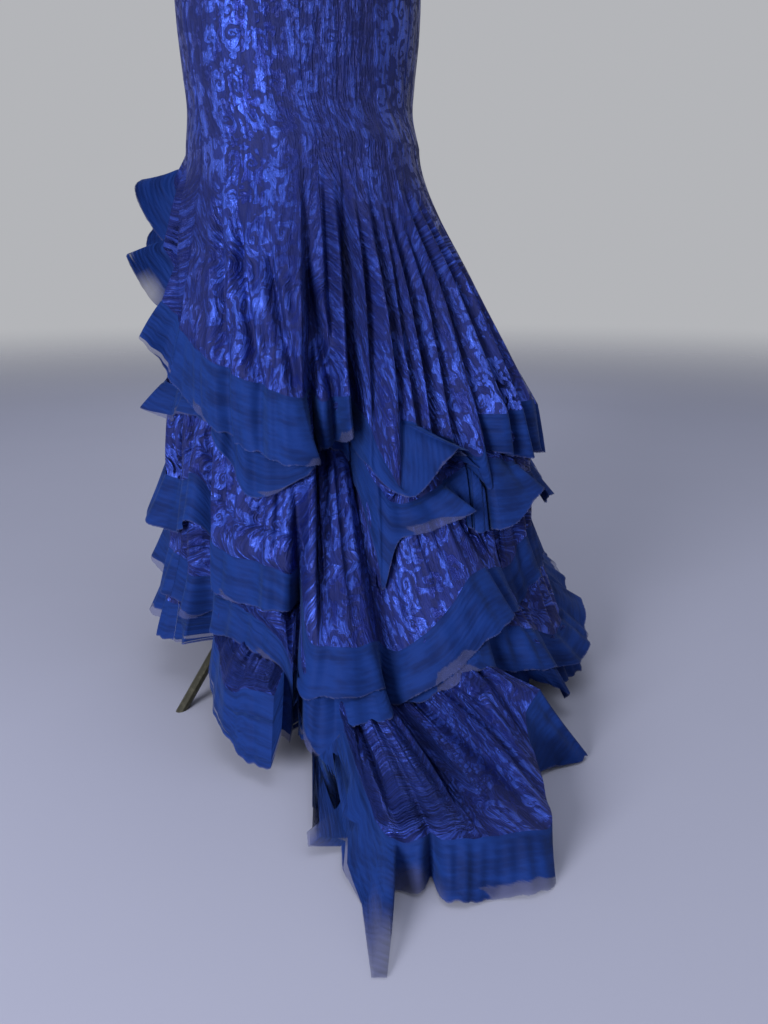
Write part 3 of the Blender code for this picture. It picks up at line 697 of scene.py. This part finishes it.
def leafMotif(finish, place, spacing, shift):
    reach, turns, red, green, blue = localPolar(finish, place, spacing, 0.75, shift)
    petals = ((turns + red) * (math.pi * 5)).sine().size()
    rim = 0.20 + petals * 0.26
    shape = 1 - (reach - rim).between(-0.02, 0.02)
    veins = ((turns + red) * (math.pi * 30)).sine() * 0.5 + 0.5
    return shape * green.over(0.25), veins


def makeLace():
    finish = Finish("lace", Roughness=0.4, Specular_IOR_Level=0.12)
    place = finish.clothPlace()
    _, wobble = finish.noise(place, 26, 2.0)
    wobble = finish.vectors("SUBTRACT", wobble, (0.5, 0.5, 0.5))[0]
    wobble = finish.vectors("MULTIPLY", wobble, (0.022, 0.026, 0.0))[0]
    bent = finish.stretched(finish.vectors("ADD", place, wobble)[0], 1.0, 0.8)
    scroll, cords = scrollMotif(finish, bent, laceLook["scrolls"], (0.0, 0.0, 0.0))
    leaf, veins = leafMotif(finish, bent, laceLook["leaves"], (0.31, 0.17, 0.0))
    motif = scroll.most(leaf * (1 - scroll) * 0.85)
    relief = scroll * (0.7 + 0.3 * cords) + leaf * (1 - scroll) * (0.55 + 0.3 * veins)
    crushed = finish.attribute("crush")
    relief = relief * (1 - crushed * 0.62)
    crush, _ = finish.noise(finish.stretched(place, 150, 26), 1.0, 4.0, 0.68)
    broad, _ = finish.noise(finish.stretched(place, 34, 6), 1.0, 2.0, 0.5)
    grain, _ = finish.noise(place, 620, 1.0)
    # Painted shade and highlight: thread and ground are darker in the valleys of the crush and broad
    # creases that the bump below raises, and lighter on their crests.
    shade = (crush * 0.62 + broad * 0.38).between(0.42, 0.60)
    thread = finish.mixed(shade, laceLook["threadDeep"], laceLook["thread"])
    ground = finish.mixed(shade * 0.7 + grain * 0.3, laceLook["ground"], laceLook["groundLight"])
    # The crush noise also brightens the threads in upright streaks, a painted highlight; the grain
    # and the motif's relief are the lace's own pattern.
    threads = (relief * (0.45 + 0.85 * grain) * (0.55 + 0.75 * crush)).least(1.0)
    colour = finish.mixed(threads, ground, thread)
    height = relief * 0.0007 + crush * (0.0026 + crushed * 0.0034) + broad * 0.0058 + grain * 0.0004
    normal = finish.bumps(height, 1.0)
    thin = finish.attribute("thin")
    holes = thin * (1 - motif.between(0.2, 0.5))
    finish.feed(
        Base_Color=colour,
        Metallic=threads * laceLook["threadMetal"],
        Roughness=0.60 - 0.29 * motif,
        Normal=normal,
        Alpha=1 - holes * 0.8,
    )
    return finish.material


chiffonLook = {
    # The face colour is the chiffon's lit copy; the next colour is its copy in painted shade.
    "face": (0.0032, 0.0175, 0.112),
    "shade": (0.0018, 0.0090, 0.060),
    "rawEdge": (0.050, 0.058, 0.150),
    "rawWidth": 0.003,       # where the raw edge isn't let out
    "sheerWidth": 0.014,     # where it is
    "pleats": 0.0065,
}


def makeChiffon():
    finish = Finish("chiffon", Roughness=0.75, Sheen_Weight=0.07, Sheen_Roughness=0.5,
                    Sheen_Tint=(0.25, 0.45, 1.0), Specular_IOR_Level=0.08)
    place = finish.clothPlace()
    slow, _ = finish.noise(finish.stretched(place, 5, 40), 1.0, 2.0, 0.5)
    across, down, _ = finish.node("ShaderNodeSeparateXYZ", None, {0: place})
    lines = ((down + slow * 0.010) * (2 * math.pi / chiffonLook["pleats"])).sine() * 0.5 + 0.5
    crumple, _ = finish.noise(finish.stretched(place, 26, 60), 1.0, 3.0, 0.55)
    weave, _ = finish.noise(place, 900, 1.0)
    # Painted shade: the chiffon is darker in the valleys of the crumples and pleat lines that the
    # bump below raises; the slow noise adds random tone.
    share = (lines ** 3 * 0.06 + crumple * 0.6 + slow * 0.4).between(0.30, 0.66)
    face = finish.mixed(share, chiffonLook["shade"], chiffonLook["face"])
    toHem = finish.attribute("hem")
    ragged, _ = finish.noise(finish.stretched(place, 240, 60), 1.0, 2.0, 0.6)
    patch, _ = finish.noise(finish.stretched(place, 9, 0.1), 1.0, 1.0)
    letOut = patch.between(0.52, 0.62) * (chiffonLook["sheerWidth"] - chiffonLook["rawWidth"])
    fromRaw = toHem + ragged * 0.004 - letOut - chiffonLook["rawWidth"]
    raw = (1 - fromRaw.between(-0.001, 0.003)).most(finish.attribute("thin"))
    colour = finish.mixed(raw * 0.8, face, chiffonLook["rawEdge"])
    fray = 1 - (toHem - ragged * 0.003).between(0.0, 0.0008)
    height = lines * 0.00022 + crumple * 0.0016 + weave * 0.00010
    finish.feed(
        Base_Color=colour,
        Normal=finish.bumps(height, 1.0),
        Alpha=(1 - raw * 0.45) * (1 - fray),
    )
    return finish.material


jerseyLook = {"light": (0.60, 0.55, 0.47), "dark": (0.50, 0.45, 0.38)}


def makeJersey():
    finish = Finish("jersey", Roughness=0.85, Sheen_Weight=0.2)
    place = finish.clothPlace()
    knit, _ = finish.noise(finish.stretched(place, 900, 420), 1.0, 1.0)
    soft, _ = finish.noise(place, 9, 2.0)
    colour = finish.mixed((soft * 0.6 + knit * 0.4).between(0.3, 0.7),
                          jerseyLook["dark"], jerseyLook["light"])
    finish.feed(Base_Color=colour, Normal=finish.bumps(knit * 0.0004, 1.0))
    return finish.material


metalLook = {"paint": (0.030, 0.030, 0.022), "worn": (0.075, 0.072, 0.055)}


def makeMetal():
    finish = Finish("black_metal", Roughness=0.4, Metallic=0.5)
    place = finish.node("ShaderNodeTexCoord")[3]
    settings = {"noise_dimensions": "3D"}
    speckle = finish.node("ShaderNodeTexNoise", settings,
                          {"Vector": place, "Scale": 260.0, "Detail": 3.0})[0]
    cloud = finish.node("ShaderNodeTexNoise", settings,
                        {"Vector": place, "Scale": 22.0, "Detail": 3.0})[0]
    colour = finish.mixed((speckle * cloud).between(0.26, 0.46), metalLook["paint"],
                          metalLook["worn"])
    finish.feed(Base_Color=colour, Roughness=0.34 + cloud * 0.22,
                Normal=finish.bumps(speckle * 0.0003, 1.0))
    return finish.material


lace, chiffon, jersey, blackMetal = makeLace(), makeChiffon(), makeJersey(), makeMetal()
print("finishes are made")


# Meshes of cloth

# Where the lace lies smooth on the form, so that its flowers show: angle, half width in
# degrees. Elsewhere it is crushed into fine upright creases.
smoothPlaces = [(117, 15), (205, 10), (262, 22), (330, 26), (35, 18)]


def crushedShare(points):
    angle, _, height = polarOf(points)
    smooth = np.zeros(angle.shape)
    for turn, half in smoothPlaces:
        smooth = np.maximum(smooth, bell(turnBetween(angle, turn), half))
    onTiers = 0.35
    return onTiers + (1 - smooth - onTiers) * ease(height, 0.40, 0.52)


def sheetMesh(name, rows, first, last, finish, closed=False, turnIn=True, marks=None):
    # Makes one panel from columns first to last. The cloth map holds metres: across from
    # the panel's middle, and down from its top.
    picked = np.take(rows, np.arange(first, last + 1) % columnCount, axis=1)
    if turnIn and not closed:
        inward = picked * (1, 1, 0)
        inward = -unit(inward) * cloth["seamDip"]
        for end, inner in ((0, 1), (-1, -2)):
            picked[:, end] = picked[:, end] + inward[:, end]
            picked[:, inner] = picked[:, inner] + inward[:, inner] * 0.35
            picked[:, end] += unit(picked[:, inner] - picked[:, end]) * 0.00015
    down = np.linalg.norm(np.diff(picked, axis=0), axis=-1)
    down = np.concatenate([np.zeros((1, picked.shape[1])), np.cumsum(down, axis=0)])
    across = np.linalg.norm(np.diff(picked, axis=1), axis=-1)
    across = np.concatenate([np.zeros((len(picked), 1)), np.cumsum(across, axis=1)], axis=1)
    width, length = across[:, -1].max(), down[-1].max()
    middle = across[:, across.shape[1] // 2][:, None]
    across = across - middle
    count, wide = picked.shape[:2]
    mesh = bpy.data.meshes.new(name)
    index = np.arange(count * wide).reshape(count, wide)
    quads = np.stack([index[:-1, :-1], index[1:, :-1], index[1:, 1:], index[:-1, 1:]], axis=-1)
    quads = quads.reshape(-1, 4)
    mesh.from_pydata(picked.reshape(-1, 3) + np.array(axis), [], quads.tolist())
    layer = mesh.uv_layers.new(name="cloth")
    uv = np.stack([across, down], axis=-1).reshape(-1, 2)
    layer.data.foreach_set("uv", uv[quads.reshape(-1)].astype(np.float32).reshape(-1))
    share = mesh.attributes.new("hem", "FLOAT", "POINT")
    toHem = (down[-1][None, :] - down).reshape(-1)
    share.data.foreach_set("value", toHem.astype(np.float32))
    thin = mesh.attributes.new("thin", "FLOAT", "POINT")
    values = np.zeros(count * wide) if marks is None else np.take(
        marks, np.arange(first, last + 1) % columnCount, axis=1).reshape(-1)
    thin.data.foreach_set("value", values.astype(np.float32))
    crush = mesh.attributes.new("crush", "FLOAT", "POINT")
    crush.data.foreach_set("value", crushedShare(picked).reshape(-1).astype(np.float32))
    mesh.materials.append(finish)
    mesh.shade_smooth()
    made = bpy.data.objects.new(name, mesh)
    bpy.context.scene.collection.objects.link(made)
    area = quadArea(picked)
    return made, (float(width), float(length)), float(area)


def quadArea(points):
    a = points[1:, :-1] - points[:-1, :-1]
    b = points[:-1, 1:] - points[:-1, :-1]
    c = points[:-1, 1:] - points[1:, 1:]
    d = points[1:, :-1] - points[1:, 1:]
    area = np.linalg.norm(np.cross(a, b), axis=-1) + np.linalg.norm(np.cross(c, d), axis=-1)
    return area.sum() / 2


def putOn(piece, slot, *nodes):  # the piece stands for CAD nodes and moves with the body
    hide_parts(*nodes)
    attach(piece, "root")


def clothPiece(name, rows, first, last, finish, slot, held, restsOn, marks=None):
    made, flat, area = sheetMesh(name, rows, first, last, finish, marks=marks)
    putOn(made, slot, name.replace("look_", ""))
    width, length = flat
    print(name, "cut", round(width, 3), "x", round(length, 3), "m, area", round(area, 4))
    if area > width * length:
        width = area / length * 1.001
    if area < 0.31 * width * length:
        length = area / (0.31 * width)
    return made


def makeSkirtAndTiers():
    curves = [seamCurve(tier) for tier in tiers]
    laces = [skirtRows(curves[0])]
    bands = [bandRows(laces[0][-1], curves[0], [], 1)]
    for k in range(1, len(tiers)):
        laces.append(tierRows(laces[k - 1][-1], curves[k], bands, k + 1))
        bands.append(bandRows(laces[k][-1], curves[k], bands, k + 1))
    allRound = leftSeam, leftSeam + columnCount
    for k, tier in enumerate(tiers):
        see = seeThrough(laces[k], k + 1)
        if k == 0:
            for name, first, last in (
                ("skirt_left_back", leftSeam, backLeftSeam),
                ("skirt_back", backLeftSeam, backRightSeam),
                ("skirt_right_back", backRightSeam, rightSeam),
                ("skirt_front", rightSeam, leftSeam + columnCount),
            ):
                clothPiece(f"look_{name}", laces[k], first, last, lace, "blue_lace",
                           "stretched", ["form_torso"], see)
        else:
            above = f"look_band_{k}"
            for name, first, last in (
                (f"tier_{k + 1}_back", leftSeam, rightSeam),
                (f"tier_{k + 1}_front", rightSeam, leftSeam + columnCount),
            ):
                clothPiece(f"look_{name}", laces[k], first, last, lace, "blue_lace",
                           "gathered", [above], see)
        hangsFrom = "look_skirt_back" if k == 0 else f"look_tier_{k + 1}_back"
        see = seeThrough(bands[k].rows, k + 11)
        clothPiece(f"look_band_{k + 1}", bands[k].rows, *allRound, chiffon, "blue_chiffon",
                   "gathered", [hangsFrom], see)
        print(f"tier {k + 1} and its band are made")


# Places where the lace hangs free of its lining, so that light shows through the net, and
# where a band is a single layer: tier (10 more for its band), angle, height, half width and
# half height in metres, and the reach where only a part that far out is thin.
ThinPlace = namedtuple("ThinPlace", "tier angle height width tall reach", defaults=[None])
thinPlaces = [
    ThinPlace(1, 196, 0.392, 0.030, 0.030),
    ThinPlace(1, 72, 0.560, 0.030, 0.040),
    ThinPlace(2, 76, 0.395, 0.040, 0.030),
    ThinPlace(3, 80, 0.280, 0.040, 0.030),
    ThinPlace(5, 151.5, 0.048, 0.026, 0.030, reach=0.565),
    ThinPlace(11, 62, 0.500, 0.050, 0.030, reach=0.215),
    ThinPlace(15, 146.0, 0.010, 0.050, 0.050, reach=0.700),
    ThinPlace(15, 149.8, 0.005, 0.030, 0.030, reach=0.625),
    ThinPlace(15, 140.8, 0.018, 0.020, 0.030, reach=0.520),
]


def seeThrough(rows, number):
    angle, reach, height = polarOf(rows)
    marks = np.zeros(rows.shape[:2])
    for place in thinPlaces:
        if place.tier == number:
            away = np.radians(turnBetween(angle, place.angle)) * reach / place.width
            off = np.hypot(away, (height - place.height) / place.tall)
            if place.reach:
                off = np.hypot(off, (reach - place.reach) / place.tall)
            marks = np.maximum(marks, 1 - ease(off, 0.4, 1.2))
    return marks


# The bodice

neckline = {"back": 1.205, "side": 1.250, "peak": 1.292, "dip": 1.262}


def bodiceTop(angles):
    offFront = np.abs(turnBetween(angles, 0))
    behind = neckline["back"] + (neckline["side"] - neckline["back"]) * (
        1 + np.cos(np.radians(2 * (offFront - 90)))) / 2
    level = np.where(offFront > 90, behind, neckline["side"])
    cups = sum(bell(turnBetween(angles, side * bust["angle"]), 26.0) for side in (-1, 1))
    rise = (neckline["peak"] - neckline["side"]) * np.minimum(cups, 1.0)
    return level + rise - (neckline["peak"] - neckline["dip"]) * bell(offFront, 12.0) * 0.6


def makeBodice():
    top = bodiceTop(columnAngle)
    rows = []
    for turned, down in ((-0.0016, 0.014), (-0.0012, 0.004), (-0.0004, 0.0008)):
        rows.append(rowOnFigure(top - down, cloth["ease"] + turned))  # the facing inside
    for share in np.linspace(0, 1, rowCount["bodice"]):
        rows.append(rowOnFigure(top + (waist - top) * share, cloth["ease"]))
    rows = np.array(rows)
    for name, first, last in (
        ("bodice_left_back", leftSeam, backSeam),
        ("bodice_right_back", backSeam, rightSeam),
        ("bodice_front", rightSeam, leftSeam + columnCount),
    ):
        clothPiece(f"look_{name}", rows, first, last, lace, "blue_lace", "stretched", ["form_torso"])
    print("bodice is made")


def rowOnFigure(heights, out):
    levels = np.linspace(heights.min() - 1e-6, heights.max() + 1e-6, 24)
    rings = np.array([figurePoints(columnAngle, level, out) for level in levels])
    place = np.clip((heights - levels[0]) / (levels[-1] - levels[0]) * 23, 0, 22.999)
    low = place.astype(int)
    share = (place - low)[:, None]
    each = np.arange(columnCount)
    points = rings[low, each] * (1 - share) + rings[low + 1, each] * share
    points[:, 2] = heights
    return points


# The dress form and its stand

form = {"rows": 96, "round": 160, "shoulder": 0.0}


def makeForm():
    angles = np.linspace(0, 360, form["round"], endpoint=False)
    heights = np.linspace(figure[0].height, formBase, form["rows"])
    rings = np.array([figurePoints(angles, height) for height in heights])
    count, wide = rings.shape[:2]
    mesh = bpy.data.meshes.new("look_form_torso")
    index = np.arange(count * wide).reshape(count, wide)
    turned = np.roll(index, -1, axis=1)
    quads = np.stack([index[:-1], index[1:], turned[1:], turned[:-1]], axis=-1).reshape(-1, 4)
    faces = quads.tolist() + [index[0].tolist(), index[-1][::-1].tolist()]
    mesh.from_pydata(rings.reshape(-1, 3) + np.array(axis), [], faces)
    layer = mesh.uv_layers.new(name="cloth")
    across = np.radians(angles)[None, :] * 0.15 + 0 * heights[:, None]
    down = heights[:, None] + 0 * angles[None, :]
    uv = np.stack([across, down], axis=-1).reshape(-1, 2)
    loops = np.array([v for face in faces for v in face])
    layer.data.foreach_set("uv", uv[loops].astype(np.float32).reshape(-1))
    mesh.materials.append(jersey)
    mesh.shade_smooth()
    mesh.set_sharp_from_angle(angle=math.radians(50))
    made = bpy.data.objects.new("look_form_torso", mesh)
    bpy.context.scene.collection.objects.link(made)
    putOn(made, "form_jersey", "form_torso")
    print("form is made")


def dressStand():  # the metal nodes keep their own shape
    for name in ("stand_pole", "stand_hub", "stand_pole_end", "stand_leg_1", "stand_leg_2",
                 "stand_leg_3", "form_neck_cap"):
        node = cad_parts[name]
        node.data.materials.clear()
        node.data.materials.append(blackMetal)
    print("stand has its finish")


# Floor, light and camera

room = {
    "floor": (0.29, 0.305, 0.41),
    "wall": (0.615, 0.625, 0.655),
    "wallLight": 0.74,
    "floorFades": (2.2, 6.5), # metres from the gown over which the floor fades out
}
camera = {
    "turn": 138.0,           # degrees round the gown's axis
    "distance": 1.371,
    "height": 0.562,
    "sideways": 0.104,
    "pitch": 15.0,           # degrees down
    "focal": 1000 / 1024 * 36.0,
}
lamps = {
    # turn round the axis, height, distance, size, power, colour
    "window": (112.0, 1.00, 3.2, 1.3, 165.0, (1.0, 0.985, 0.975)),
    "fill": (205.0, 1.30, 2.6, 1.8, 8.0, (0.92, 0.95, 1.0)),
    "top": (150.0, 2.60, 0.8, 1.6, 13.0, (0.97, 0.98, 1.0)),
    "behind": (320.0, 2.0, 2.4, 1.6, 14.0, (1.0, 1.0, 1.0)),
}


def aim(thing, place, target):
    thing.location = place
    thing.rotation_euler = (Vector(target) - Vector(place)).to_track_quat("-Z", "Y").to_euler()


def makeFloor():
    shape = bmesh.new()
    bmesh.ops.create_circle(shape, cap_ends=True, segments=96, radius=9.0)
    mesh = bpy.data.meshes.new("floor")
    shape.to_mesh(mesh)
    shape.free()
    finish = Finish("floor", Roughness=0.8, Base_Color=room["floor"], Specular_IOR_Level=0.15)
    place = finish.node("ShaderNodeTexCoord")[3]
    cloud = finish.node("ShaderNodeTexNoise", None, {"Vector": place, "Scale": 2.2, "Detail": 3.0})[0]
    pale = room["floor"]
    away = finish.vectors("LENGTH", place, (0, 0, 0))[1]
    finish.feed(
        Base_Color=finish.mixed(cloud, tuple(c * 0.95 for c in pale), pale),
        Alpha=1 - away.between(*room["floorFades"]),
    )
    mesh.materials.append(finish.material)
    floor = bpy.data.objects.new("floor", mesh)
    bpy.context.scene.collection.objects.link(floor)


def makeLight():
    for name, (turn, height, distance, size, power, colour) in lamps.items():
        data = bpy.data.lights.new(name, "AREA")
        data.shape, data.size, data.energy, data.color = "DISK", size, power, colour
        lamp = bpy.data.objects.new(name, data)
        lamp.visible_camera = False
        bpy.context.scene.collection.objects.link(lamp)
        place = axis + Vector(polar(turn, distance, height))
        aim(lamp, place, axis + Vector((0, 0, 0.45)))
    world = bpy.data.worlds.new("room")
    bpy.context.scene.world = world
    world.use_nodes = True
    sky = world.node_tree.nodes["Background"]
    sky.inputs["Color"].default_value = (*room["wall"], 1.0)
    sky.inputs["Strength"].default_value = room["wallLight"]
    view = bpy.context.scene.view_settings
    view.view_transform, view.look = "Standard", "None"


def makeCamera():
    data = bpy.data.cameras.new("camera")
    data.sensor_fit, data.sensor_height, data.sensor_width = "VERTICAL", 36.0, 36.0
    data.lens = camera["focal"]
    eye = bpy.data.objects.new("camera", data)
    bpy.context.scene.collection.objects.link(eye)
    toward = Vector(polar(camera["turn"], 1.0, 0.0))
    right = Vector((0, 0, 1)).cross(toward)
    place = axis + toward * camera["distance"] + right * camera["sideways"]
    place.z = camera["height"]
    pitch = math.radians(camera["pitch"])
    aim(eye, place, place - toward * math.cos(pitch) - Vector((0, 0, math.sin(pitch))))
    bpy.context.scene.camera = eye


makeFloor()
makeLight()
makeCamera()
makeForm()
dressStand()
makeBodice()
makeSkirtAndTiers()

print("scene is complete")
